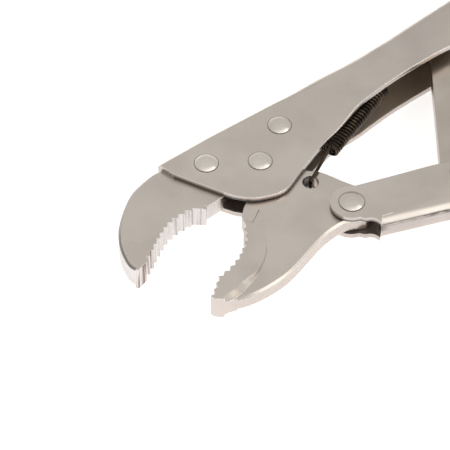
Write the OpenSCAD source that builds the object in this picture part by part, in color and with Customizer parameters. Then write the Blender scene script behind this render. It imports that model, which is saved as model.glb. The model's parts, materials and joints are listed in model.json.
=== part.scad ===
// Curved-jaw locking pliers, nominal 10 inch, pressed-sheet handles and forged jaws.
// Millimetres. The tool lies on its side: +X runs from the jaws to the knob, +Z is up.
// Each sub-part is modelled about the jaw pivot at the mid-plane, then placed once.

// Sub-part to draw, or all of them

/* [Sheet handles] */
// Thickness of the pressed sheet
sheet = 2.0; // [1.5:0.1:3]
// Outer width of both handles at the head
head_w = 10.8; // [9:0.1:14]
// Outer width of both handles at the grip
grip_w = 19.5; // [14:0.1:24]
// Outer bend radius at the head
head_bend_r = 2.4; // [2.1:0.1:4]
// Outer bend radius at the grip
grip_bend_r = 5.0; // [3:0.1:8]
// Outer bend radius at the front of the lower handle
low_bend_r = 4.6; // [2.4:0.1:5]
// Upper handle: where the head starts to widen
flare_from = 25; // [15:1:40]
// Upper handle: where the full grip width is reached
flare_to = 45; // [30:1:60]
// Lower handle: where the width starts to grow
low_flare_from = 50; // [44:1:60]
// Lower handle: where the full grip width is reached
low_flare_to = 68; // [55:1:80]
// Upper handle: where the grip starts to close round the screw
neck_from = 122; // [110:1:135]
// Upper handle: rear end of the folded sheet
neck_to = 146; // [138:1:150]

/* [Screw collar] */
// Outer radius of the formed tube that holds the screw
collar_r = 7.4; // [6:0.1:9]
// Length of the formed tube
collar_len = 13; // [8:1:20]
// Width of the seam under the tube
collar_seam = 1.0; // [0.5:0.1:2]

/* [Pivots] */
// Handle pivot, along the tool from the jaw pivot
handle_pivot_x = 13.8; // [10:0.1:20]
// Handle pivot, below the jaw pivot
handle_pivot_y = -34.9; // [-45:0.1:-25]
// Angle of the lower handle with the jaws wide open
open_angle = -18.4; // [-30:0.1:0]
// Link pivot, along the lower handle from the handle pivot
link_pivot_u = 42.6; // [36:0.1:50]
// Link nose centre, along the tool
nose_x = 90.2; // [80:0.1:100]
// Height of the screw axis above the jaw pivot
screw_y = 7.0; // [4:0.1:12]
// Lever pivot, along the lower handle from the handle pivot
lever_pivot_u = 76; // [66:0.5:90]
// Lever pivot, across the lower handle
lever_pivot_v = -17.5; // [-24:0.5:-10]

/* [Rivets] */
// Shank radius of the two rivets that hold the fixed jaw
fix_shank_r = 2.6; // [2:0.1:4]
// Shank radius of the jaw pivot
pivot_shank_r = 3.0; // [2:0.1:5]
// Shank radius of the lever pin
pin_shank_r = 2.0; // [1.5:0.1:3]
// Head radius of the rivets in the upper handle
head_r = 4.3; // [3:0.1:6]
// Head radius of the handle pivot
big_head_r = 4.6; // [3:0.1:6]
// Radius of the lever pin's flush ends
pin_head_r = 3.2; // [2.5:0.1:5]
// Depth of the lever pin's flush ends
pin_sink = 1.2; // [0.8:0.1:1.6]
// Height of a rivet head
head_h = 1.2; // [0.6:0.1:2]
// Depth of the punch mark in a rivet head
dimple = 0.3; // [0.1:0.1:0.6]

/* [Jaws] */
// Thickness of the moving jaw between the sheets
web = 6.2; // [5:0.1:7]
// Thickness of both jaws at the teeth
pad = 10; // [8:0.1:12]
// Radius of the moving jaw round its pivot
hub_r = 10; // [8:0.1:12]
// Distance from tooth to tooth on the moving jaw
tooth_pitch = 3.05; // [2:0.05:4]
// Depth of a tooth on the moving jaw
tooth_depth = 1.05; // [0.6:0.05:2]
// Distance from tooth to tooth on the fixed jaw
fixed_pitch = 2.9; // [2:0.05:4]
// Direction in which the fixed jaw's teeth are cut, from the tool's length
cut_angle = -37.5; // [-60:0.5:-20]
// Rise of the moving jaw's side face per millimetre towards the teeth
pad_slope = 0.15; // [0.05:0.01:0.3]
// Rise of the fixed jaw's near face per millimetre towards the tip
face_slope = 0.054; // [0.02:0.002:0.1]
// Width of the sloped edge along the back of a jaw
edge_w = 0.9; // [0.4:0.1:2]
// Drop of that sloped edge
edge_drop = 0.8; // [0.3:0.1:1.5]
// Radius of the hole for the spring hook
hook_hole_r = 2.9; // [2:0.1:4]

/* [Toggle link] */
// Thickness of the link
link_t = 6.2; // [4:0.1:6.4]
// Radius of the link round its pivot
link_r = 7.6; // [6:0.1:9]
// Radius of the link nose
nose_r = 3.5; // [3:0.1:5]
// Space left between the link nose and the screw tip
nose_gap = 1.5; // [0.3:0.1:3]

/* [Release lever] */
// Width of the lever
lever_w = 12; // [9:0.1:14]
// Sheet thickness of the lever
lever_t = 1.6; // [1:0.1:2.5]
// Width of the tongue that reaches under the link
tongue_w = 6; // [4:0.1:6.4]

/* [Adjusting screw] */
// Outer radius of the screw thread
screw_r = 4.75; // [4:0.05:6]
// Gap between the formed tube and the knob
knob_gap = 0.5; // [0.3:0.1:4]
// Length of the knob
knob_len = 20.5; // [15:0.5:30]
// Length of screw inside the knob
knob_hold = 10.5; // [6:0.5:16]
// Outer radius of the knob
knob_r = 7.8; // [6:0.1:10]
// Number of knurl ridges
ridges = 30; // [18:1:48]
// Depth of the knurl
knurl_depth = 0.5; // [0.2:0.1:1]

/* [Return spring] */
// Wire diameter
wire_d = 1.2; // [0.8:0.1:2]
// Outer diameter of the coil
coil_d = 6.4; // [5:0.1:8]
// Number of turns
turns = 25; // [10:1:30]
// Steps round one turn
coil_steps = 9; // [6:1:16]
// Distance from the jaw hole to the first turn
front_leg = 16.5; // [12:0.5:22]
// Length of the coil
coil_len = 38.5; // [30:0.5:44]
// Spring anchor, along the tool
anchor_x = 75; // [68:0.5:80]
// Spring anchor, above the jaw pivot
anchor_y = 11; // [8:0.1:12]
// Width of the anchor tab
tab_w = 5; // [3:0.1:7]

/* [Fits] */
// Radial clearance of a pin or screw that turns in its hole
running = 0.05; // [0.01:0.01:0.1]
// Clearance between riveted pieces
seated = 0.02; // [0.01:0.01:0.05]
// Free gap between pieces that pass each other
free_gap = 0.3; // [0.2:0.05:0.6]

/* [Hidden] */
$fn = 48;
eps = 0.05;
far = 60;
jaw_pivot = [0, 0];
front_rivet = [-16.0, 10.9];
rear_rivet = [16.3, 9.5];
handle_pivot = [handle_pivot_x, handle_pivot_y];
nose_centre = [nose_x, screw_y];
hook_hole = [9.3, -17.3];
anchor = [anchor_x, anchor_y];
inner_w = head_w - 2 * sheet;
fixed_web = inner_w - 2 * seated;
half_web = web / 2;
half_pad = pad / 2;
hub_clear_r = hub_r + 0.4;
ear_r = 7.7;
screw_tip = nose_x + nose_r + nose_gap;
collar_end = neck_to - sheet + collar_len;
knob_from = collar_end + knob_gap;
knob_to = knob_from + knob_len;
screw_end = knob_from + knob_hold;
jaw_tip_x = -65.8;

// ---------- curves ----------
function unit(v) = v / norm(v);
function turn(v) = [-v.y, v.x];
function mix(a, b, t) = a + (b - a) * t;
function clamp01(t) = max(0, min(1, t));
function smooth(t) = let (s = clamp01(t)) s * s * (3 - 2 * s);
function ramp(x, from, to) = smooth((x - from) / (to - from));
function cubic(a, b, c, d, t) =
    0.5 * (2 * b + (c - a) * t + (2 * a - 5 * b + 4 * c - d) * t * t
           + (3 * b - a - 3 * c + d) * t * t * t);
function spline(k, n) =
    let (e = len(k) - 1)
    concat([for (i = [0 : e - 1], j = [0 : n - 1])
                cubic(k[max(i - 1, 0)], k[i], k[i + 1], k[min(i + 2, e)], j / n)], [k[e]]);
function arc(c, r, a, b, n) =
    [for (i = [0 : n]) let (t = mix(a, b, i / n)) c + r * [cos(t), sin(t)]];
function rev(p) = [for (i = [len(p) - 1 : -1 : 0]) p[i]];
function lengths(p, i = 1, done = [0]) =
    i == len(p) ? done : lengths(p, i + 1, concat(done, done[i - 1] + norm(p[i] - p[i - 1])));
function table(p, k) = let (s = lengths(p)) [for (i = [0 : len(p) - 1]) [s[i], p[i][k]]];
function at(tx, ty, s) = [lookup(s, tx), lookup(s, ty)];
function spun(p, a) = [p.x * cos(a) - p.y * sin(a), p.x * sin(a) + p.y * cos(a)];
// plan point of the lower handle's own axes in the tool's axes
function low(p) = handle_pivot + spun(p, open_angle);
// lower end of a path at each of n + 1 even steps, with the path's left-hand normal
function stations(p, n) =
    let (tx = table(p, 0), ty = table(p, 1), total = tx[len(tx) - 1][0], d = total / 200)
    [for (i = [0 : n]) let (s = total * i / n, s0 = max(s - d, 0), s1 = min(s + d, total))
        [at(tx, ty, s), turn(unit(at(tx, ty, s1) - at(tx, ty, s0)))]];
// corners of a path, each with its mitred left-hand normal and its share of the length
function seg_normal(p, i) = turn(unit(p[i + 1] - p[i]));
function corners(p) =
    let (e = len(p) - 1, s = lengths(p))
    [for (i = [0 : e])
        let (a = seg_normal(p, max(i - 1, 0)), b = seg_normal(p, min(i, e - 1)), m = unit(a + b))
        [p[i], m / (m * a), s[i] / s[e]]];

// saw-toothed edge of the moving jaw along a line through its tooth tips
function serrated(line) =
    let (tx = table(line, 0), ty = table(line, 1), total = tx[len(tx) - 1][0],
         count = round(total / tooth_pitch), p = total / count)
    [for (i = [0 : count - 1], q = [[0, 0], [0.05, 0], [0.45, 1], [0.5, 1]])
        let (s = (i + q[0]) * p, c = at(tx, ty, s), f = at(tx, ty, s + p / 20),
             b = at(tx, ty, max(s - p / 20, 0)))
        c - tooth_depth * q[1] * turn(unit(f - b))];

// stepped teeth of the fixed jaw: one flank of every tooth lies along direction d
function stepped(line, d) =
    let (tx = table(line, 0), ty = table(line, 1), total = tx[len(tx) - 1][0],
         count = round(total / fixed_pitch))
    [for (i = [0 : count - 1])
        let (a = at(tx, ty, total * i / count), b = at(tx, ty, total * (i + 1) / count))
        each [a, a + ((b - a) * d) * d]];

// ---------- skins ----------
module skin(rings, caps) {
    m = len(rings[0]);
    n = len(rings);
    half = m / 2;
    sides = [for (i = [0 : n - 2], j = [0 : m - 1])
                let (a = i * m + j, b = i * m + (j + 1) % m)
                each [[a, a + m, b], [b, a + m, b + m]]];
    fan = [for (j = [1 : m - 2]) each [[0, j, j + 1],
                                       [(n - 1) * m, (n - 1) * m + j + 1, (n - 1) * m + j]]];
    strip = [for (j = [0 : half - 2])
                let (k = m - 1 - j, o = (n - 1) * m)
                each [[j, j + 1, k], [j + 1, k - 1, k],
                      [o + j, o + k, o + j + 1], [o + j + 1, o + k, o + k - 1]]];
    polyhedron(points = [for (r = rings) each r],
               faces = concat(sides, caps == "fan" ? fan : strip), convexity = 10);
}

// one side of a folded section: half width w, bend radius r, plan points of the flat wall last
function fold_side(p, v, w, r, s, inset, wall, n) =
    concat([for (i = [0 : n])
                let (a = 90 * i / n, c = p + (inset + r - r * cos(a)) * v)
                [c.x, c.y, s * (w - r + r * sin(a))]],
           [for (q = wall) [q.x, q.y, s * w]]);

// ring of a folded sheet at spine point p with inward normal v
function fold_ring(p, v, w, r, wall, n = 4) =
    let (wi = w / 2 - sheet, ri = r - sheet,
         outer = concat(rev(fold_side(p, v, w / 2, r, 1, 0, wall, n)),
                        fold_side(p, v, w / 2, r, -1, 0, wall, n)),
         inner = concat(rev(fold_side(p, v, wi, ri, 1, sheet, wall, n)),
                        fold_side(p, v, wi, ri, -1, sheet, wall, n)))
    concat(outer, rev(inner));

// even steps along a wall from the end of the bend to the open edge
function wall_steps(from, to, n) = [for (i = [1 : n]) mix(from, to, i / n)];

// wedge that trims a side face along a line: height zi at distance wi inside the line,
// height zo on the line, running on past it by reach; s picks the near or the far side
module trim_band(line, wi, zi, zo, s, side, reach = 2) {
    rings = [for (c = corners(line))
                let (t = c[2], p = c[0], v = side * c[1],
                     a = p - wi(t) * v, b = p + reach * v,
                     drop = (zi(t) - zo(t)) * (1 + reach / wi(t)),
                     top = far / 4)
                [[a.x, a.y, s * zi(t)], [b.x, b.y, s * (zi(t) - drop)], [b.x, b.y, s * top],
                 [a.x, a.y, s * top]]];
    skin(s * side > 0 ? rings : rev(rings), "fan");
}

module rivet(p, shank_r, cap_r, over) {
    face = over / 2 + seated;
    top = face + head_h;
    rim = 0.2;
    crown = [for (q = [1 : -0.15 : 0.25]) [cap_r * q, face + rim + (head_h - rim) * (1 - q * q * q)]];
    half = concat([[shank_r, face], [cap_r, face]], crown, [[dimple * 2, top], [0, top - dimple]]);
    mirrored = [for (q = rev(half)) [q.x, -q.y]];
    translate([p.x, p.y, 0])
        rotate_extrude($fn = 36)
            polygon(concat([for (q = half) q], mirrored));
}

// pin riveted flush into both side walls
module flush_pin(p, shank_r, cap_r, over) {
    face = over / 2 - eps;
    half = [[0, face], [cap_r, face], [shank_r, face - pin_sink]];
    translate([p.x, p.y, 0])
        rotate_extrude($fn = 36)
            polygon(concat(half, [for (q = rev(half)) [q.x, -q.y]]));
}

module sink(p, r, cap_r, w) {
    for (s = [1, -1])
        translate([p.x, p.y, s * (w / 2 - eps)])
            mirror([0, 0, s < 0 ? 1 : 0]) {
                translate([0, 0, -pin_sink])
                    cylinder(r1 = r, r2 = cap_r, h = pin_sink);
                cylinder(r = cap_r, h = 1);
            }
}

module bore(p, r, w) {
    translate([p.x, p.y, 0])
        cylinder(r = r, h = w, center = true);
}

module in_place() {
    translate([-foot_x, -foot_y, grip_w / 2])
        children();
}

// ---------- upper handle ----------
spine_keys = [[-29.7, 21.6], [-12, 21.6], [5, 21.15], [24, 20.35], [41, 18.55], [55, 17.8], [70, 18.05],
              [90, 19.25], [107, 20.2], [122, 19.4], [136, 16.6], [neck_to, 14.3]];
front_keys = [[-29.6, 19.0], [-28.4, 13.8], [-24.2, 5.2], [-20.3, -2.5], [-17.5, -7.4]];
edge_keys = [[-17.5, -7.4], [-12.9, -12.4], [-6.9, -15.2], [-3.1, -16.1], [1.1, -15.7], [9.4, -12.3],
             [22.9, -7.4], [34, -4.9], [45, -2.6], [65, -0.6], [88, -0.6], [105, -3.2], [120, -4.0],
             [135, -2.2], [neck_to, -0.4]];
wall_n = 4;

function upper_w(x) = mix(mix(head_w, grip_w, ramp(x, flare_from, flare_to)),
                          2 * collar_r - 2 * eps, ramp(x, neck_from, neck_to - 4));
function upper_r(x) = mix(mix(head_bend_r, grip_bend_r, ramp(x, flare_from, flare_to)),
                          collar_r - 4 * eps, ramp(x, neck_from, neck_to - 4));
function spine_x(x) = x - 12.2 * (1 - ramp(x, -17.5, flare_to + 10));

// ring of the upper handle that ends at point q of the open edge
function upper_ring(tx, q, wall) =
    let (x = spine_x(q.x), p = [x, lookup(x, tx)], x1 = x + 1,
         v = -turn(unit([x1, lookup(x1, tx)] - p)), r = upper_r(x))
    fold_ring(p, v, upper_w(x), r, is_undef(wall) ? wall_steps(p + r * v, q, wall_n) : wall);

module upper_handle() {
    spine = spline(spine_keys, 6);
    tx = [for (q = concat(spine, [[200, spine_keys[len(spine_keys) - 1].y]])) [q.x, q.y]];
    edge = spline(edge_keys, 3);
    front = spline(front_keys, 1);
    shell = concat([upper_ring(tx, edge[0], [for (i = [1 : wall_n]) front[i]])],
                   [for (i = [1 : len(edge) - 1]) upper_ring(tx, edge[i])]);
    tab_top = 17;
    color("#bcb2a6")
    in_place()
    difference() {
        union() {
            skin(rev(shell), "strip");
            translate([neck_to - sheet, screw_y, 0])
                rotate([0, 90, 0])
                    cylinder(r = collar_r, h = collar_len);
            translate([anchor_x - sheet / 2, anchor_y - tab_w / 2, -tab_w / 2])
                cube([sheet, tab_top - anchor_y + tab_w / 2, tab_w]);
        }
        translate([neck_to - 2 * sheet, screw_y, 0])
            rotate([0, 90, 0])
                cylinder(r = screw_r + running, h = collar_len + 2 * sheet);
        translate([neck_to - sheet / 2, screw_y - collar_r - 1, -collar_seam / 2])
            cube([collar_len + 2 * sheet, collar_r, collar_seam]);
        bore(jaw_pivot, pivot_shank_r + seated, grip_w);
        bore(front_rivet, fix_shank_r + seated, grip_w);
        bore(rear_rivet, fix_shank_r + seated, grip_w);
        translate([anchor_x - sheet, anchor_y, 0])
            rotate([0, 90, 0])
                cylinder(r = wire_d, h = 2 * sheet, $fn = 24);
    }
}

// ---------- fixed jaw ----------
back_keys = [[-30.3, 19.75], [-33.7, 20.1], [-39.8, 18.7], [-45.8, 16.3], [-52.4, 11.6], [-57.9, 6.5],
             [-61.3, 2.1], [-64.0, -3.0], [-65.6, -8.6], [-65.7, -11.3], [-65.1, -13.2]];
fixed_crest = [[-33.1, -2.8], [-38.7, -2.95], [-44.6, -4.2], [-50.1, -7.0], [-55.6, -10.4], [-60.2, -12.9]];
fixed_crescent = [[-28.3, -4.6], [-29.0, 0.5], [-33.5, 5.4], [-41.0, 6.6], [-49.0, 3.6], [-56.0, -2.0],
                  [-61.5, -8.0], [-64.9, -12.9]];
hidden_web_top = [[-29.2, 19.1], [-12, 19.1], [5, 18.65], [16, 18.2], [23, 17.7]];

module fixed_outline() {
    teeth = stepped(spline(fixed_crest, 8), [cos(cut_angle), sin(cut_angle)]);
    hub = arc([0, 0], hub_clear_r, 178, 28, 20);
    rear = concat([[13.5, 2.4], [21.5, 2.4]], arc([21.5, 5.4], 3, -60, 0, 4), [[24.5, 15.0]]);
    polygon(concat(rev(spline(back_keys, 4)), [[-30.3, 19.1]], spline(hidden_web_top, 2), rev(rear),
                   rev(hub), [[-12.6, -0.4], [-19.3, -4.0], [-27.2, -4.45], [-27.7, -3.6], [-28.1, -4.1],
                    [-28.3, -5.35], [-32.3, -2.0]],
                   teeth, [[-60.2, -12.9], [-64.6, -14.1]]));
}

module above_plane(p, dir, base, slope, side) {
    ang = atan2(dir.y, dir.x);
    mirror([0, 0, side < 0 ? 1 : 0])
    intersection() {
        translate([p.x, p.y, base])
            rotate([0, 0, ang])
                rotate([0, -atan(slope), 0])
                    translate([-2 * far, -2 * far, 0])
                        cube([4 * far, 4 * far, far]);
        translate([-2 * far, -2 * far, base])
            cube([4 * far, 4 * far, far]);
    }
}

module fixed_jaw() {
    sheet_edge = [-24.6, 4.0];
    across = unit([-0.9, -0.436]);
    half = fixed_web / 2;
    lower_line = spline(fixed_crescent, 3);
    color("#bcb2a6")
    in_place()
    difference() {
        linear_extrude(pad, center = true)
            fixed_outline();
        above_plane(sheet_edge + 0.8 * across, across, half, face_slope, 1);
        translate([0, 0, -far - half])
            linear_extrude(far)
                polygon(concat(lower_line, [[-72, -13], [-72, 40], [40, 40], [40, -20], [-28.3, -20]]));
        trim_band(lower_line, function (t) 1.9, function (t) half_pad + eps, function (t) half + 0.15,
                  -1, 1, 0.1);
        trim_band(spline(back_keys, 4), function (t) edge_w,
                  function (t) mix(half, half_pad, clamp01((t - 0.07) / 0.6)) + eps,
                  function (t) mix(half, half_pad, clamp01((t - 0.07) / 0.6)) - edge_drop, 1, -1);
        trim_band(spline(back_keys, 4), function (t) edge_w,
                  function (t) mix(half + eps, half_pad + eps, t * t),
                  function (t) mix(half - edge_drop, half_pad, t * t), -1, -1);
        bore(front_rivet, fix_shank_r + seated, grip_w);
        bore(rear_rivet, fix_shank_r + seated, grip_w);
    }
}

// ---------- moving jaw ----------
moving_crest = [[-51.6, -38.4], [-49.4, -37.0], [-47.3, -35.5], [-44.3, -33.2], [-41.0, -32.6],
                [-38.1, -32.0], [-35.0, -30.9], [-32.4, -29.7], [-29.8, -27.9], [-26.2, -25.0],
                [-23.6, -20.6], [-22.4, -18.7]];
belly_keys = [[-44.3, -43.9], [-39.7, -45.4], [-31.6, -46.2], [-22.2, -45.5], [-10.5, -42.1], [-4.4, -40.3],
              [0.4, -39.4], [4.9, -39.2], [8.4, -39.6], [11.6, -40.9], [14.7, -42.2]];
crescent_keys = [[-16.4, -24.9], [-19.0, -26.8], [-20.3, -28.5], [-22.0, -31.8], [-25.5, -35.4],
                 [-31.2, -39.2], [-36.8, -41.3], [-43.4, -42.9], [-48.5, -42.8]];

module moving_outline() {
    teeth = serrated(spline(moving_crest, 8));
    nose = [[-46.4, -43.2], [-48.4, -42.4], [-50.1, -41.2], [-51.3, -39.9]];
    end = spline([[14.7, -42.2], [18.4, -41.6], [21.6, -38.6], [22.9, -34.4], [22.2, -31.0]], 3);
    polygon(concat([[-9.3, -3.6], [-13.7, -10.0], [-17.4, -12.6], [-20.2, -15.3]], rev(teeth), rev(nose),
                   spline(belly_keys, 4), end,
                   spline([[20.3, -27.6], [18.4, -23.6], [16.2, -18.2], [14.3, -14.8], [11.6, -12.2]], 3),
                   [[10, 0]]));
    circle(r = hub_r);
}

module pad_zone() {
    polygon(concat([[-27, -14], [-21.6, -18.0], [-20.0, -18.6], [-19.25, -20.0], [-17.2, -19.0],
                    [-14.4, -17.0], [-13.0, -17.6]],
                   spline(crescent_keys, 3), [[-52, -44], [-62, -40], [-50, -20]]));
}

module moving_jaw() {
    fade = [-13.6, -18.6];
    across = unit([-0.93, 0.37]);
    color("#bcb2a6")
    in_place()
    difference() {
        union() {
            linear_extrude(web, center = true)
                moving_outline();
            linear_extrude(pad, center = true)
                intersection() {
                    moving_outline();
                    pad_zone();
                }
        }
        for (s = [1, -1]) {
            above_plane(fade, across, half_web, pad_slope, s);
            trim_band(spline(crescent_keys, 3), function (t) mix(0.7, 2.1, ramp(t, 0.5, 0.85)),
                      function (t) half_pad + eps, function (t) half_web + 0.15, s, 1, 0.1);
            trim_band(spline(belly_keys, 4), function (t) edge_w,
                      function (t) half_web + eps,
                      function (t) half_web - edge_drop * (1 - ramp(t, 0.85, 1)), s, -1);
        }
        bore(jaw_pivot, pivot_shank_r + running, grip_w);
        bore(handle_pivot, pivot_shank_r + running, grip_w);
        bore(hook_hole, hook_hole_r, grip_w);
    }
}

// ---------- lower handle ----------
low_spine_keys = [[6.5, -12.45], [19, -13.0], [33, -13.6], [46, -15.6], [60, -20.4], [76, -28.0],
                  [92, -36.2], [108, -43.9], [124.5, -51.2]];
low_edge_keys = [[9.5, 6.6], [23, 6.6], [36, 6.6], [46, 5.2], [58, 0.6], [72, -7.0], [88, -15.9],
                 [104, -24.6], [127, -36.4]];

function low_w(u) = mix(head_w, grip_w, ramp(u, low_flare_from, low_flare_to));
function low_r(u) = mix(low_bend_r, grip_bend_r, ramp(u, low_flare_from, low_flare_to));

module low_frame() {
    in_place()
        translate([handle_pivot.x, handle_pivot.y, 0])
            rotate([0, 0, open_angle])
                children();
}

module lower_handle() {
    n = 34;
    spine = stations(spline(low_spine_keys, 3), n);
    edge = stations(spline(low_edge_keys, 3), n);
    shell = [for (i = [0 : n])
                let (p = spine[i][0], v = spine[i][1], r = low_r(p.x))
                fold_ring(p, v, low_w(p.x), r, wall_steps(p + r * v, edge[i][0], 2))];
    ear = arc([0, 0], ear_r, 59, 272, 24);
    notch = arc([2.5, -13], 4, 90, 12, 6);
    color("#bcb2a6")
    low_frame()
    difference() {
        union() {
            skin(shell, "strip");
            for (s = [1, -1])
                translate([0, 0, s * (inner_w + sheet) / 2])
                    linear_extrude(sheet - seated, center = true)
                        polygon(concat([[4.6, 6.58]], ear, [[1.6, -8.7]], notch,
                                       [[8, -9.5], [12, -9.5], [13, 6.58]]));
        }
        bore([0, 0], pivot_shank_r + seated, grip_w);
        bore([link_pivot_u, 0], pivot_shank_r + seated, grip_w);
        bore([lever_pivot_u, lever_pivot_v], pin_shank_r + seated, 2 * grip_w);
        sink([lever_pivot_u, lever_pivot_v], pin_shank_r + seated, pin_head_r + seated, grip_w);
    }
}

// ---------- link, lever ----------
link_pivot = low([link_pivot_u, 0]);

module toggle_link() {
    color("#b4aa9e")
    in_place()
    difference() {
        linear_extrude(link_t, center = true)
            hull() {
                translate(link_pivot)
                    circle(r = link_r, $fn = 64);
                translate(nose_centre)
                    circle(r = nose_r, $fn = 48);
            }
        bore(link_pivot, pivot_shank_r + running, grip_w);
    }
}

lever_top = [[64, -10.6], [76, -12.4], [90, -17.5], [104, -23.8], [118, -30.6], [130, -37.4], [138, -43.0],
             [142.6, -47.8]];
lever_low = [[141.6, -48.6], [136, -44.6], [128, -40.4], [118, -36.2], [104, -31.4], [90, -26.8],
             [80, -22.6], [72, -21.0], [66, -17.0]];

module lever_side() {
    polygon(concat(spline(lever_top, 3), spline(lever_low, 3)));
}

module release_lever() {
    color("#a9a097")
    low_frame()
    difference() {
        union() {
            difference() {
                linear_extrude(lever_w, center = true)
                    lever_side();
                linear_extrude(lever_w - 2 * lever_t, center = true)
                    translate([-2, -lever_t])
                        intersection() {
                            polygon(concat(spline(lever_top, 3), [[150, -80], [60, -80], [50, -11]]));
                            translate([40, -90])
                                square([90, 90]);
                        }
            }
            linear_extrude(tongue_w, center = true)
                polygon([[57.6, -11.6], [58.6, -10.4], [66, -9.4], [72, -11.2], [84, -16], [84, -17.4],
                         [72, -15.0], [62, -14.4], [58, -13.2]]);
        }
        bore([lever_pivot_u, lever_pivot_v], pin_shank_r + running, 2 * grip_w);
    }
}

// ---------- screw and knob ----------
module along_x(x) {
    in_place()
        translate([x, screw_y, 0])
            rotate([0, 90, 0])
                children();
}

module adjusting_screw() {
    color("#a7a29b")
    along_x(screw_tip)
    rotate_extrude($fn = 36)
        polygon([[0, 0], [screw_r - 1, 0], [screw_r, 1], [screw_r, screw_end - screw_tip - 1],
                 [screw_r - 1, screw_end - screw_tip], [0, screw_end - screw_tip]]);
}

module adjusting_knob() {
    len = knob_len;
    step = 360 / ridges;
    ridge = [for (i = [0 : ridges - 1], q = [[0, 0], [0.25, 1], [0.5, 1], [0.75, 0]])
                (knob_r - knurl_depth * q[1]) * [cos(step * (i + q[0])), sin(step * (i + q[0]))]];
    color("#b9b1a8")
    along_x(knob_from)
    difference() {
        union() {
            translate([0, 0, 3])
                linear_extrude(len - 7)
                    polygon(ridge);
            rotate_extrude()
                polygon([[0, 0], [knob_r - 1.6, 0], [knob_r - 0.8, 1], [knob_r - 0.8, len - 2.4],
                         [knob_r - 2.6, len - 0.4], [knob_r - 4, len], [0, len]]);
        }
        translate([0, 0, -1])
            cylinder(r = screw_r + running, h = screw_end - knob_from + 1 + free_gap);
    }
}

// ---------- return spring ----------
function frame_at(p, q) = let (d = unit(q - p), a = abs(d.z) < 0.8 ? [0, 0, 1] : [1, 0, 0],
                               u = unit(cross(d, a))) [u, cross(d, u)];
function wire_rings(path, r, n) =
    [for (i = [0 : len(path) - 1])
        let (p = path[max(i - 1, 0)], q = path[min(i + 1, len(path) - 1)], f = frame_at(p, q))
        [for (j = [0 : n - 1]) let (a = 360 * j / n) path[i] + r * (cos(a) * f[0] + sin(a) * f[1])]];

module return_spring() {
    reach = norm(anchor - hook_hole);
    mean_r = (coil_d - wire_d) / 2;
    coil_end = front_leg + coil_len;
    start_a = 90;
    count = turns * coil_steps;
    z_near = half_web + wire_d / 2 + 0.25;
    hook = [[3.6, 0, -z_near], [1.6, 0, -z_near - 0.1], [0.3, 0, -z_near + 1.0], [0, 0, -1.5], [0, 0, 1.5],
            [0.3, 0, z_near - 0.9], [1.8, 0, z_near], [front_leg - 5, 0, mean_r + 0.5],
            [front_leg - 1.2, 0, mean_r]];
    coil = [for (i = [0 : count]) let (a = start_a + 360 * i / coil_steps)
               [front_leg + coil_len * i / count, mean_r * cos(a), mean_r * sin(a)]];
    tail = [[coil_end + 2.2, 0, mean_r], [reach - 3.4, 0, 1.5], [reach - 1.4, 0, 0.3], [reach, 0, 0],
            [reach + 1.9, 0, -0.3], [reach + 2.3, 0, -2.2], [reach + 1.2, 0, -3.2]];
    color("#3a332d")
    in_place()
        translate([hook_hole.x, hook_hole.y, 0])
            rotate([0, 0, atan2(anchor.y - hook_hole.y, anchor.x - hook_hole.x)])
                skin(wire_rings(concat(hook, coil, tail), wire_d / 2, 6), "fan");
}

// ---------- rivets ----------
module front_jaw_rivet() {
    color("#c8bfb4")
        in_place()
            rivet(front_rivet, fix_shank_r, head_r, head_w);
}

module rear_jaw_rivet() {
    color("#c8bfb4")
        in_place()
            rivet(rear_rivet, fix_shank_r, head_r, head_w);
}

module jaw_pivot_rivet() {
    color("#c8bfb4")
        in_place()
            rivet(jaw_pivot, pivot_shank_r, head_r, head_w);
}

module handle_pivot_rivet() {
    color("#c8bfb4")
        in_place()
            rivet(handle_pivot, pivot_shank_r, big_head_r, head_w);
}

module link_rivet() {
    color("#c8bfb4")
        in_place()
            rivet(link_pivot, pivot_shank_r, big_head_r, head_w);
}

module lever_rivet() {
    color("#c8bfb4")
        in_place()
            flush_pin(low([lever_pivot_u, lever_pivot_v]), pin_shank_r, pin_head_r, grip_w);
}

lever_end = low(lever_low[0]);
foot_x = (knob_to + jaw_tip_x) / 2;
foot_y = (spine_keys[0].y + lever_end.y) / 2;

upper_handle();
fixed_jaw();
front_jaw_rivet();
rear_jaw_rivet();
jaw_pivot_rivet();
moving_jaw();
handle_pivot_rivet();
lower_handle();
toggle_link();
link_rivet();
release_lever();
lever_rivet();
adjusting_screw();
adjusting_knob();
return_spring();
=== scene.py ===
import json
import math

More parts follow.
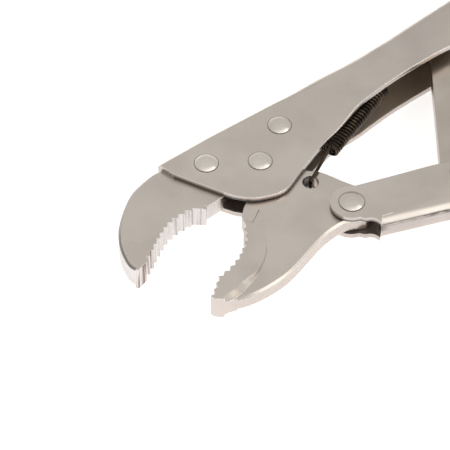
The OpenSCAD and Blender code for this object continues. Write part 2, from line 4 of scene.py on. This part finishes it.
import bmesh
import bpy
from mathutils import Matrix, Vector


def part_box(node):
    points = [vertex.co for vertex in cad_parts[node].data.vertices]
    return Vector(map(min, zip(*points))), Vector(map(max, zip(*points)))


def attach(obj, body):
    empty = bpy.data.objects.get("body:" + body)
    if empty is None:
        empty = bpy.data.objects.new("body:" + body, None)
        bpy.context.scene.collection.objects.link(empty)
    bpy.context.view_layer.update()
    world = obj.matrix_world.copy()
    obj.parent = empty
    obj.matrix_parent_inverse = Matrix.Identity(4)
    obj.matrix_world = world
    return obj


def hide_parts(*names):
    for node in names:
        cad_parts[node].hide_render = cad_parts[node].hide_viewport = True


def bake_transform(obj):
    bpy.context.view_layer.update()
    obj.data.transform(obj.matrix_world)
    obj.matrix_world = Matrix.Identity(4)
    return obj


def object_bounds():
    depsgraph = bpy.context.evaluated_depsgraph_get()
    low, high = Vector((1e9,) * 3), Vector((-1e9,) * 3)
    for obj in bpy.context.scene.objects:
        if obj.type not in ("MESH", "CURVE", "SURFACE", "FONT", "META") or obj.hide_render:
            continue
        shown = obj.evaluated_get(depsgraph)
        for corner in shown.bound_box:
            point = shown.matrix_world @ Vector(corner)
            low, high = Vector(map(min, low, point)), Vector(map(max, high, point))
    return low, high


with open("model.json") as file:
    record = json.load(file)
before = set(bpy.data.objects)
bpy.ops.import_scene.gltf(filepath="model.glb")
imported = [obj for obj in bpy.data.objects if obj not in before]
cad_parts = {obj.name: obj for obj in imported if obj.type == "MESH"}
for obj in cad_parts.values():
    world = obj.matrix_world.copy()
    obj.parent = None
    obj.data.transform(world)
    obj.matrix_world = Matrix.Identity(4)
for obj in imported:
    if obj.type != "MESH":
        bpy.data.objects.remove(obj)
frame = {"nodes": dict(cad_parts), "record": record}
cad_box = [list(v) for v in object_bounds()]
nodes = frame["nodes"]
body_of = {n: b for b, names in frame["record"]["behaviour"]["bodies"].items() for n in names}
scene = bpy.context.scene
MM = 0.001


def centre(name):
    lo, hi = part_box(name)
    return (Vector(lo) + Vector(hi)) / 2


PIVOT = centre("jaw_pivot_rivet")
HOOK = Vector((9.3, -17.3, 0))  # the spring's hole in the moving jaw
ANCHOR = Vector((75, 11.0, 0))  # the tab that holds the spring's rear end
HOOK_HOLE_R = 2.9


def tool(x, y, z=0.0):
    """A point given in millimetres from the jaw pivot, in the row frame."""
    return PIVOT + Vector((x, y, z)) * MM


def add_object(name, data):
    o = bpy.data.objects.new(name, data)
    scene.collection.objects.link(o)
    return o


# ---------------------------------------------------------------- camera
AZIMUTH, ELEVATION, DISTANCE = math.radians(-37.5), math.radians(49.5), 0.900
LENS, SENSOR = 205.2, 36
right = Vector((math.cos(AZIMUTH), math.sin(AZIMUTH), 0))
ahead = Vector((-math.sin(AZIMUTH), math.cos(AZIMUTH), 0))
up = Vector((0, 0, 1))
level = math.cos(ELEVATION)
back = Vector((math.sin(AZIMUTH) * level, -math.cos(AZIMUTH) * level, math.sin(ELEVATION)))
target = tool(-28.4245, -16.2540, 5.4)
camera = add_object("camera", bpy.data.cameras.new("camera"))
camera.data.sensor_width = SENSOR
camera.data.lens = LENS
camera.data.clip_start, camera.data.clip_end = 0.02, 20
camera.rotation_mode = "QUATERNION"
camera.location = target + back * DISTANCE
camera.rotation_quaternion = (-back).to_track_quat("-Z", "Y")
scene.camera = camera
scene.view_settings.view_transform = "Standard"


# ---------------------------------------------------------------- node helpers
class Nodes:
    """A few words for building a node tree. A value is a number, a colour or a socket."""

    def __init__(self, tree):
        self.tree = tree

    def new(self, kind, **settings):
        n = self.tree.nodes.new("ShaderNode" + kind)
        for key, value in settings.items():
            setattr(n, key, value)
        return n

    def put(self, socket, value):
        if isinstance(value, bpy.types.NodeSocket):
            self.tree.links.new(value, socket)
        else:
            socket.default_value = value

    def math(self, op, *values):
        n = self.new("Math", operation=op)
        for socket, value in zip(n.inputs, values):
            self.put(socket, value)
        return n.outputs[0]

    def times(self, first, *others):
        for v in others:
            first = self.math("MULTIPLY", first, v)
        return first

    def plus(self, first, *others):
        for v in others:
            first = self.math("ADD", first, v)
        return first

    def minus(self, a, b):
        return self.math("SUBTRACT", a, b)

    def absolute(self, v):
        return self.math("ABSOLUTE", v)

    def length(self, a, b):
        return self.math("SQRT", self.plus(self.times(a, a), self.times(b, b)))

    def fit(self, v, a, b, c=0.0, d=1.0, kind="SMOOTHSTEP"):
        """c where v is at a or before it, d where it is at b or past it, and a smooth ramp between."""
        n = self.new("MapRange", interpolation_type=kind)
        for socket, value in zip(n.inputs, (v, a, b, c, d)):
            self.put(socket, value)
        return n.outputs[0]

    def dot(self, a, b):
        n = self.new("VectorMath", operation="DOT_PRODUCT")
        self.put(n.inputs[0], a)
        self.put(n.inputs[1], b)
        return n.outputs["Value"]

    def xyz(self, vector):
        n = self.new("SeparateXYZ")
        self.put(n.inputs[0], vector)
        return n.outputs


class Material(Nodes):
    """A material with one principled shader, painted in the object's own axes."""

    def __init__(self, name):
        self.mat = bpy.data.materials.new(name)
        self.mat.use_nodes = True
        super().__init__(self.mat.node_tree)
        self.tree.nodes.clear()
        self.bsdf = self.new("BsdfPrincipled")
        self.put(self.new("OutputMaterial").inputs[0], self.bsdf.outputs[0])
        self.coord = self.new("TexCoord").outputs["Object"]

    def set(self, **values):
        for name, value in values.items():
            self.put(self.bsdf.inputs[name.replace("_", " ")], value)

    def place(self):
        """x, y and z in millimetres from the jaw pivot."""
        return [self.times(self.minus(v, p), 1 / MM) for v, p in zip(self.xyz(self.coord), PIVOT)]

    def noise(self, scale, detail=3.0, rough=0.55, stretch=(1, 1, 1), offset=(0, 0, 0)):
        m = self.new("Mapping")
        m.inputs["Scale"].default_value = stretch
        m.inputs["Location"].default_value = offset
        self.put(m.inputs["Vector"], self.coord)
        n = self.new("TexNoise")
        self.put(n.inputs["Vector"], m.outputs[0])
        n.inputs["Scale"].default_value = scale
        n.inputs["Detail"].default_value = detail
        n.inputs["Roughness"].default_value = rough
        return n.outputs["Fac"]

    def mix(self, f, a, b, blend="MIX"):
        n = self.new("Mix", data_type="RGBA", blend_type=blend)
        for i, value in ((0, f), (6, a), (7, b)):
            self.put(n.inputs[i], value)
        return n.outputs[2]

    def grey(self, v):
        n = self.new("CombineColor")
        for socket in n.inputs[:3]:
            self.put(socket, v)
        return n.outputs[0]

    def normal(self, which="True Normal"):
        """The surface normal in the object's own axes: the true one, or Normal for the smoothed."""
        n = self.new("VectorTransform", vector_type="NORMAL", convert_from="WORLD", convert_to="OBJECT")
        self.put(n.inputs[0], self.new("NewGeometry").outputs[which])
        return self.xyz(n.outputs[0])

    def round_edges(self, radius):
        n = self.new("Bevel", samples=6)
        n.inputs["Radius"].default_value = radius
        return n.outputs[0]

    def bent(self, vector):
        """How far a normal keeps to the surface's own: 1 on a flat, less beside a corner."""
        return self.dot(vector, self.new("NewGeometry").outputs["Normal"])

    def bump(self, height, distance, under=None):
        n = self.new("Bump")
        n.inputs["Strength"].default_value = 1.0
        n.inputs["Distance"].default_value = distance
        self.put(n.inputs["Height"], height)
        if under is not None:
            self.put(n.inputs["Normal"], under)
        return n.outputs[0]


def rgb(r, g, b):
    """A shader colour from the 0 to 255 values of a screen colour."""

    def linear(c):
        c /= 255
        return c / 12.92 if c <= 0.04045 else ((c + 0.055) / 1.055) ** 2.4

    return (linear(r), linear(g), linear(b), 1)


# ---------------------------------------------------------------- materials
GRAIN, CLOUD = 1400, 45  # scales of the plate's fine grain and soft clouding
GRAIN_DEPTH = 0.0014 * MM
# painted shade for upright walls
WALL_SHADE = (0.76, 0.745, 0.765)
# painted highlight colour for rounded corners
CORNER_HIGHLIGHT = (1.0, 0.97, 0.92, 1)
STAIN, TIP_STAIN = (0.08, 0.08, 0.10, 1), (0.24, 0.12, 0.07, 1)


def stretch_marks_and_reflection(k, x, offset):
    """Mottled stretch marks and a painted dark reflection where the sheet turns over its spine, fainter at
    the front end.
    """
    soft = k.normal("Normal")[2]
    grain = k.fit(k.noise(900, 3, 0.6, stretch=(0.5, 0.5, 1), offset=offset), 0.35, 0.65, 0.3, 1.0)
    zone = k.times(k.fit(soft, 0.22, 0.36), k.fit(soft, 0.42, 0.60, 1.0, 0.0))
    return k.times(zone, k.fit(x, 24.0, 40.0, 0.35, 1.0), grain)


def cutter_marks(k, x, flat, offset, facing, mid, tip):
    """Marks of the cutter down a toothed wall that looks along facing times +Y.

    mid is how strong they are along the jaw, and tip how strong they are at its tip.
    """
    run = k.noise(900, 4, 0.65, stretch=(1, 1, 0.02), offset=offset)
    upright = k.fit(k.absolute(flat[2]), 0.3, 0.6, 1.0, 0.0)
    toothed = k.times(upright, k.fit(k.times(flat[1], facing), 0.1, 0.4))
    deep = k.times(k.fit(x, -27.0, -29.0), k.fit(x, -57.0, -51.0, tip, mid))
    return k.times(toothed, deep, k.fit(run, 0.50, 0.62))


def plated(name, light, dark, rough, wave=0.05, seed=0.0, edge=0.35, wall_shade=WALL_SHADE, rings=(),
           inside=None, bend=0.0, cutter=None, marks=None):
    """Satin nickel plate: soft clouding, fine grain, painted shade on walls, painted highlights on corners,
    painted shadow round rivets.

    wave is the depth of its shallow hollows and edge the width of its rounded corners and their painted
    highlight, in millimetres. rings are the rivets' places and radii, where painted contact shadow is laid.
    inside is the painted shade on a channel's inner faces near the head, and bend is the strength of the
    stretch marks and painted dark reflection on its spine. cutter holds facing, mid and tip for
    cutter_marks, and marks is a function that gives the piece's own painted shade.
    """
    k = Material(name)
    offset = (seed, seed * 0.7, -seed)
    fine = k.noise(GRAIN, 3, 0.6, offset=offset)
    cloud = k.noise(CLOUD, 3, 0.5, offset=offset)
    x, y, z = k.place()
    flat = k.normal()
    rounded = k.round_edges(edge * MM)
    colour = k.mix(k.fit(k.plus(k.times(fine, 0.10), k.times(cloud, 0.90)), 0.36, 0.64), light, dark)
    # painted shade: upright walls are darkened and tinted for the light they get
    colour = k.mix(k.fit(k.absolute(flat[2]), 0.25, 0.45, 1.0, 0.0), colour, (*wall_shade, 1), "MULTIPLY")
    # painted highlight along the rounded corners
    colour = k.mix(k.fit(k.bent(rounded), 0.985, 0.90, 0.0, 0.85), colour, CORNER_HIGHLIGHT)
    # the colour darkens a little towards the handled end: painted shade, for the light falling off there
    shade = k.fit(x, 0.0, 85.0, 1.0, 0.90)
    # painted contact shadow: a dark ring round each rivet head
    for c, r in rings:
        d = k.length(k.minus(x, c.x), k.minus(y, c.y))
        shade = k.times(shade, k.fit(d, r - 0.1, r + 0.4, 0.5, 1.0))
    # painted dark reflection, mottled as stretch marks, along the folded spine
    if bend:
        shade = k.times(shade, k.minus(1.0, k.times(stretch_marks_and_reflection(k, x, offset), bend)))
    if cutter:
        stain = k.mix(k.fit(x, -51.0, -55.0), STAIN, TIP_STAIN)
        colour = k.mix(cutter_marks(k, x, flat, offset, *cutter), colour, stain, "MULTIPLY")
    # the piece's own painted shade
    if marks:
        shade = k.times(shade, marks(k, x, y, z, flat))
    colour = k.mix(1.0, colour, k.grey(shade), "MULTIPLY")
    worn = k.fit(k.plus(k.times(fine, 0.3), cloud), 0.4, 0.9, rough - 0.03, rough + 0.05, "LINEAR")
    if inside:
        # inner faces look towards mid-thickness; painted shade darkens them to a brownish tone, darkest at
        # the head, and they are also duller
        inner = k.fit(k.times(flat[2], k.math("SIGN", k.times(z, -1.0))), 0.2, 0.8)
        inner_shade = k.mix(k.fit(x, 45.0, 85.0), rgb(255, 248, 238), rgb(205, 196, 184))
        inner_shade = k.mix(k.fit(x, 5.0, 40.0), (*inside, 1), inner_shade)
        colour = k.mix(inner, colour, inner_shade, "MULTIPLY")
        worn = k.plus(worn, k.times(inner, 0.30))
    hollows = k.bump(k.noise(110, 2, 0.5, offset=offset), wave * MM, rounded)
    k.set(Base_Color=colour, Metallic=1.0, Roughness=worn, Normal=k.bump(fine, GRAIN_DEPTH, hollows))
    return k.mat


def steel_wire(name):
    """Dark spring wire with a fine grain."""
    k = Material(name)
    fine = k.noise(1500, 3, 0.6)
    colour = k.mix(k.fit(k.noise(160, 2, 0.5), 0.35, 0.65), rgb(84, 73, 63), rgb(50, 42, 36))
    k.set(Base_Color=colour, Metallic=1.0, Roughness=k.fit(fine, 0.3, 0.7, 0.26, 0.38),
          Normal=k.bump(fine, 0.01 * MM))
    return k.mat


def wall(k, flat):
    """1 on faces that stand square to the tool's near side, 0 on those that lie along it."""
    return k.fit(k.absolute(flat[2]), 0.35, 0.7, 1.0, 0.0)


def cut_edge_shadow(k, x, y, z, flat):
    """The near sheet's cut edge over the jaws: painted shadow darkens its wall in the joint beneath, leaving
    its upper corner bright.
    """
    along = k.times(k.fit(x, 44.0, 52.0, 1.0, 0.0), k.fit(z, 0.0, 1.0))
    on = k.times(k.fit(flat[1], -0.1, -0.4), wall(k, flat), along)
    # the sheet's near face rises where the channel widens, which starts up to 12.2 mm further back here
    station = k.minus(x, k.times(k.fit(x, -17.5, 55.0, 1.0, 0.0), 12.2))
    top = k.fit(station, 25.0, 45.0, 5.4, 9.75)
    return k.minus(1.0, k.times(on, k.fit(k.minus(top, z), 0.5, 1.5, 0.0, 0.78)))


def ear_edge_shadow(k, x, y, z, flat):
    """Painted shadow in the joint under the near ear of the lower handle."""
    faces_jaw = k.plus(k.times(flat[0], -0.9), k.times(flat[1], -0.43))
    along = k.times(k.fit(x, 14.0, 20.0, 1.0, 0.0), k.fit(z, 0.0, 1.0))
    on = k.times(k.fit(faces_jaw, 0.3, 0.7), wall(k, flat), along)
    return k.minus(1.0, k.times(on, k.fit(z, 3.6, 4.6, 0.75, 0.0)))


def back_line_shade(k, x, y, z, flat):
    """Painted shade: a dark line down the sloped edge at the back of the fixed jaw."""
    slope = k.times(k.fit(flat[2], 0.97, 0.90), k.fit(flat[2], 0.45, 0.60))
    on = k.times(slope, k.fit(flat[0], -0.05, -0.25), k.fit(x, -34.0, -44.0))
    return k.minus(1.0, k.times(on, 0.55))


SCORE = [(-13.4, -16.4), (-19.05, -20.1), (-19.9, -18.3)]


def from_segment(k, x, y, a, b):
    """Distance from the line between two points."""
    ux, uy = b[0] - a[0], b[1] - a[1]
    square = ux * ux + uy * uy
    px, py = k.minus(x, a[0]), k.minus(y, a[1])
    along = k.plus(k.times(px, ux / square), k.times(py, uy / square))
    along.node.use_clamp = True
    return k.length(k.minus(px, k.times(along, ux)), k.minus(py, k.times(along, uy)))


def moving_jaw_shade(k, x, y, z, flat):
    """Painted shade on the moving jaw's near face: a shadow line along a shallow score, its spring hole, and
    the ridge at its nose.
    """
    # a painted shadow line along the shallow score
    near = [from_segment(k, x, y, a, b) for a, b in zip(SCORE[:-1], SCORE[1:])]
    line = k.times(k.fit(k.math("MINIMUM", *near), 0.05, 0.26, 0.55, 0.0), k.fit(z, 2.5, 3.0))
    # painted shade in the spring hole, all but the one side that catches the light
    hx, hy = k.minus(x, HOOK.x), k.minus(y, HOOK.y)
    lit = k.fit(k.plus(k.times(hx, 0.8), k.times(hy, -0.6)), 1.1, 1.9)
    dark = k.fit(k.length(hx, hy), HOOK_HOLE_R + 0.03, HOOK_HOLE_R + 0.2, 0.72, 0.0)
    hole = k.times(dark, k.minus(1.0, lit))
    # painted shade: the ridge that runs out to the nose is darkened, to show duller than the cut chamfers
    region = k.times(k.fit(k.plus(k.times(x, 0.25), y), -56.5, -54.5), k.fit(x, -34.0, -42.0))
    ridge = k.times(region, k.fit(flat[2], 0.985, 0.95, 0.0, 0.50), k.fit(flat[2], 0.55, 0.75))
    return k.times(k.minus(1.0, line), k.minus(1.0, hole), k.minus(1.0, ridge))


HEAD_R, PIVOT_HEAD_R, PIN_R = 4.35, 4.65, 3.2
JAW_RIVETS = ("front_jaw_rivet", "rear_jaw_rivet", "jaw_pivot_rivet")
HANDLE_RIVETS = ("handle_pivot_rivet", "link_rivet")
CROWNED = JAW_RIVETS + HANDLE_RIVETS
LIGHT, DARK = rgb(231, 222, 213), rgb(220, 211, 202)


# places for the painted contact shadow round rivet heads
def rings(names, radius):
    return [((centre(n) - PIVOT) / MM, radius) for n in names]


screw_mat = plated("plated_screw", rgb(214, 207, 198), rgb(196, 188, 179), 0.26, wave=0.01, seed=3.7)
rivet_mat = plated("plated_rivet", rgb(238, 231, 222), rgb(228, 220, 210), 0.27, wave=0.02, seed=1.7)
MATERIALS = {
    # the inside colours, wall colours and marks below give painted shade
    "upper_handle": plated("plated_sheet", LIGHT, DARK, 0.25, edge=0.7, rings=rings(JAW_RIVETS, HEAD_R),
                           inside=(0.30, 0.27, 0.25), marks=cut_edge_shadow),
    "lower_handle": plated("plated_sheet_lower", LIGHT, DARK, 0.22, seed=0.3, edge=0.25,
                           wall_shade=(0.70, 0.69, 0.72), inside=(0.25, 0.22, 0.22), bend=0.8, marks=ear_edge_shadow,
                           rings=rings(HANDLE_RIVETS, PIVOT_HEAD_R) + rings(["lever_rivet"], PIN_R)),
    "fixed_jaw": plated("plated_jaw_upper", LIGHT, DARK, 0.26, wave=0.06, seed=0.7, edge=0.55,
                        wall_shade=(0.87, 0.90, 0.98), cutter=(-1.0, 0.40, 1.0), marks=back_line_shade),
    "moving_jaw": plated("plated_jaw_lower", LIGHT, DARK, 0.26, wave=0.06, seed=1.1, edge=0.5,
                         cutter=(1.0, 0.30, 0.30), marks=moving_jaw_shade),
    "toggle_link": plated("plated_link", rgb(230, 219, 208), rgb(216, 206, 195), 0.30, seed=2.3),
    "release_lever": plated("plated_lever", rgb(226, 217, 207), rgb(212, 203, 193), 0.28, seed=2.9),
    "adjusting_screw": screw_mat,
    "adjusting_knob": screw_mat,
    "return_spring": steel_wire("spring_wire"),
    "lever_rivet": rivet_mat,
    **{n: rivet_mat for n in CROWNED},
}


# ---------------------------------------------------------------- pieces from the CAD shapes
SHARP = math.radians(32)  # edges that bend more than this are rounded
ROUNDING = 0.22
CROWN, HEAD_ZONE = 0.45, 1.3  # how much fuller a rivet's crown is, and the depth of the head that it moves
DOUBLES = 0.003
# short edges closed up first, in mm, so that the rounding has room
WELD = {"fixed_jaw": 0.06, "upper_handle": 0.03, "lower_handle": 0.10}
# no room for the rounding: this one's corners are rounded in its shading alone
UNROUNDED = "moving_jaw"


def raise_crowns(bm, name):
    """A fuller crown on both of a rivet's heads."""
    (ax, ay, az), (bx, by, bz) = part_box(name)
    mid, radius, top = Vector((ax + bx, ay + by, az + bz)) / 2, (bx - ax) / 2, (bz - az) / 2
    for v in bm.verts:
        d = v.co - mid
        q = math.hypot(d.x, d.y) / radius
        if abs(d.z) > top - HEAD_ZONE * MM and q < 0.99:
            v.co.z += math.copysign(CROWN * MM * (1 - q * q), d.z)


def skin(name):
    """A CAD solid's mesh, welded, with flat faces joined up and its bends shaded smooth."""
    bm = bmesh.new()
    bm.from_mesh(nodes[name].data)
    bmesh.ops.remove_doubles(bm, verts=bm.verts, dist=DOUBLES * MM)
    if name in WELD:
        bmesh.ops.remove_doubles(bm, verts=bm.verts, dist=WELD[name] * MM)
    if name in CROWNED:
        raise_crowns(bm, name)
    else:
        bmesh.ops.dissolve_limit(bm, angle_limit=math.radians(0.3), verts=bm.verts, edges=bm.edges)
    me = bpy.data.meshes.new(name + "_skin")
    bm.to_mesh(me)
    bm.free()
    if "custom_normal" in me.attributes:
        me.attributes.remove(me.attributes["custom_normal"])
    me.materials.clear()
    me.materials.append(MATERIALS[name])
    me.shade_smooth()
    me.set_sharp_from_angle(angle=SHARP)
    return me


def round_off(piece, name):
    """Small rounded edges, made in the mesh."""
    bevel = piece.modifiers.new("edges", "BEVEL")
    bevel.width = ROUNDING * MM
    bevel.segments = 2
    bevel.limit_method = "ANGLE"
    bevel.angle_limit = SHARP
    bevel.use_clamp_overlap = True
    bevel.harden_normals = False
    if name == "upper_handle":
        # the rounding leaves two slivers here, which this closes
        close = piece.modifiers.new("close", "WELD")
        close.merge_threshold = 0.002 * MM
    normals = piece.modifiers.new("normals", "WEIGHTED_NORMAL")
    normals.keep_sharp = True


for name in nodes:
    if name not in ("return_spring", "adjusting_screw"):
        piece = add_object(name + "_body", skin(name))
        if name != UNROUNDED:
            round_off(piece, name)
        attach(piece, body_of[name])
        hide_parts(name)


# ---------------------------------------------------------------- pieces made of rings
def tube_faces(count, sides):
    """Faces of a closed tube whose points come ring by ring."""
    faces = []
    for i in range(count - 1):
        for j in range(sides):
            k = (j + 1) % sides
            faces.append((i * sides + j, i * sides + k, (i + 1) * sides + k, (i + 1) * sides + j))
    faces.append(tuple(reversed(range(sides))))
    faces.append(tuple((count - 1) * sides + j for j in range(sides)))
    return faces


def ringed(name, mesh_name, points, sides, node):
    me = bpy.data.meshes.new(mesh_name)
    me.from_pydata(points, [], tube_faces(len(points) // sides, sides))
    me.materials.append(MATERIALS[node])
    me.shade_smooth()
    return add_object(name, me)


def clamped(v):
    return min(1.0, max(0.0, v))


# ---------------------------------------------------------------- adjusting screw with its thread
PITCH, DEPTH, SIDES, RINGS_PER_TURN = 1.5, 0.75, 40, 8
FLANK, CREST = 2.6, 0.15  # steepness of the thread's flanks, and how flat its crest is
CHAMFER, PLAIN, RUN_IN = 1.0, 3.0, 1.5  # at both ends, the bare tip, and where the thread grows to its depth
(x0, y0, z0), (x1, y1, z1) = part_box("adjusting_screw")
axis_y, axis_z, major = (y0 + y1) / 2, (z0 + z1) / 2, (y1 - y0) / 2 - 0.01 * MM
length = x1 - x0
steps = int(round(length / (PITCH * MM) * RINGS_PER_TURN))
points = []
for i in range(steps + 1):
    s = i / steps * length
    ends = min(1.0, s / (CHAMFER * MM), (length - s) / (CHAMFER * MM))
    thread = clamped((s - PLAIN * MM) / (RUN_IN * MM))
    for j in range(SIDES):
        a = 2 * math.pi * j / SIDES
        turn = (s / (PITCH * MM) - j / SIDES) % 1.0
        cut = clamped(abs(turn - 0.5) * FLANK - CREST)
        r = min(major - (1 - ends) * CHAMFER * MM, major - DEPTH * MM * (1 - thread * (1 - cut)))
        points.append((x0 + s, axis_y + r * math.cos(a), axis_z + r * math.sin(a)))
screw = ringed("adjusting_screw_body", "screw_thread", points, SIDES, "adjusting_screw")
screw.data.set_sharp_from_angle(angle=math.radians(50))
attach(screw, body_of["adjusting_screw"])
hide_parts("adjusting_screw")

# ---------------------------------------------------------------- return spring
WIRE_R, MEAN_R, TURNS, COIL = 0.6, 2.6, 25, 38.5
LEG = 18.3  # from the jaw's hole to the first turn
LEAN = 1.6  # how far the coil's front end stands up and aside from its rear end
HOOK_Z = 3.95  # height of the front hook's bends over mid-thickness
STEPS_PER_TURN, WIRE_SIDES, STEPS_PER_KEY = 28, 12, 5
along = (ANCHOR - HOOK).normalized()
side = Vector((-along.y, along.x, 0))
reach = (ANCHOR - HOOK).length


def placed(p):
    """A point of the spring, given along it, beside it and above mid-thickness, in the row frame."""
    q = HOOK + along * p[0] + side * p[1]
    return tool(q.x, q.y, p[2])


def smooth_path(keys):
    """A smooth curve through the key points."""
    out = []
    for i in range(len(keys) - 1):
        a, b, c, d = keys[max(i - 1, 0)], keys[i], keys[i + 1], keys[min(i + 2, len(keys) - 1)]
        for j in range(STEPS_PER_KEY):
            t = j / STEPS_PER_KEY
            out.append(0.5 * (2 * b + (c - a) * t + (2 * a - 5 * b + 4 * c - d) * t * t
                              + (3 * b - a - 3 * c + d) * t ** 3))
    out.append(keys[-1])
    return out


def wire(path, r, sides):
    """Points of a round wire along a path, ring by ring, without twist."""
    points = []
    u = None
    for i, p in enumerate(path):
        d = (path[min(i + 1, len(path) - 1)] - path[max(i - 1, 0)]).normalized()
        if u is None:
            u = d.orthogonal().normalized()
        u = (u - d * u.dot(d)).normalized()
        v = d.cross(u)
        for j in range(sides):
            a = 2 * math.pi * j / sides
            points.append(p + r * (math.cos(a) * u + math.sin(a) * v))
    return points


hook = [(3.6, 0, -HOOK_Z), (1.6, 0, -HOOK_Z - 0.1), (0.3, 0, -HOOK_Z + 1.0), (0, 0, -1.5), (0, 0, 1.5),
        (0.3, 0, HOOK_Z - 0.9), (1.8, 0, HOOK_Z), (LEG - 5, 0.9, HOOK_Z + 0.1),
        (LEG - 1.2, 1.5, MEAN_R + 1.5)]
tail = [(LEG + COIL + 2.2, 0, MEAN_R), (reach - 3.4, 0, 1.5), (reach - 1.4, 0, 0.3), (reach, 0, 0),
        (reach + 1.9, 0, -0.3), (reach + 2.3, 0, -2.2), (reach + 1.2, 0, -3.2)]
steps = TURNS * STEPS_PER_TURN
coil = []
for i in range(steps + 1):
    a = math.pi / 2 + 2 * math.pi * i / STEPS_PER_TURN
    lean = LEAN * (1 - i / steps)
    coil.append(placed((LEG + COIL * i / steps, lean + MEAN_R * math.cos(a), lean + MEAN_R * math.sin(a))))
path = smooth_path([placed(p) for p in hook] + [coil[0]])[:-1] + coil
path += smooth_path([coil[-1]] + [placed(p) for p in tail])[1:]
spring = ringed("return_spring_wire", "spring_wire", wire(path, WIRE_R * MM, WIRE_SIDES), WIRE_SIDES,
                "return_spring")
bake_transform(spring)
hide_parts("return_spring")

# ---------------------------------------------------------------- floor and light
FLOOR = 3.0
ground = cad_box[0][2]
corners = [(-FLOOR, -FLOOR), (FLOOR, -FLOOR), (FLOOR, FLOOR), (-FLOOR, FLOOR)]
floor_mesh = bpy.data.meshes.new("floor")
floor_mesh.from_pydata([(x, y, ground) for x, y in corners], [], [(0, 1, 2, 3)])
floor = add_object("floor", floor_mesh)
white = Material("floor_white")
white.set(Base_Color=(0.93, 0.93, 0.93, 1), Roughness=0.9, Specular_IOR_Level=0.1,
          Emission_Color=(1, 1, 1, 1), Emission_Strength=0.56)
floor_mesh.materials.append(white.mat)

# A light tent: even all round, brighter overhead, with a dark gap low down on the open front side.
world = bpy.data.worlds.new("studio")
scene.world = world
world.use_nodes = True
tent = Nodes(world.node_tree)
background = world.node_tree.nodes["Background"]
background.inputs["Color"].default_value = (1.0, 0.985, 0.965, 1)
sky = tent.new("TexCoord").outputs["Generated"]
KEY_ANGLE, EVEN = math.radians(34), 0.60
key_side = right * math.sin(KEY_ANGLE) - ahead * math.cos(KEY_ANGLE)
height, front = tent.dot(sky, up), tent.dot(sky, -ahead)
overhead = tent.fit(height, 0.60, 0.90, 0.0, 0.06)
rim = tent.times(tent.fit(height, 0.02, 0.45, 0.12, 0.0), tent.fit(front, -0.3, 0.1, 1.0, 0.0))
near = tent.times(tent.fit(front, 0.10, 0.50, 0.0, 0.18), tent.fit(height, 0.16, 0.32))
key = tent.times(tent.fit(tent.dot(sky, key_side), 0.20, 0.75, 0.0, 0.60), tent.fit(height, 0.14, 0.30))
gap = tent.times(tent.fit(height, 0.10, 0.22, 1.0, 0.0), tent.fit(front, 0.0, 0.40, 0.0, 0.90))
strength = tent.times(tent.plus(overhead, rim, near, key, EVEN), tent.minus(1.0, gap))
tent.put(background.inputs["Strength"], strength)

lamp = bpy.data.lights.new("warm", "AREA")
lamp.shape = "RECTANGLE"
lamp.size, lamp.size_y = 0.5, 0.5
lamp.energy = 1.2
lamp.color = (1, 0.93, 0.80)
warm = add_object("warm", lamp)
warm.location = target + right * 1.1 - ahead * 0.25 + up * 1.0
warm.rotation_mode = "QUATERNION"
warm.rotation_quaternion = (target - warm.location).to_track_quat("-Z", "Y")
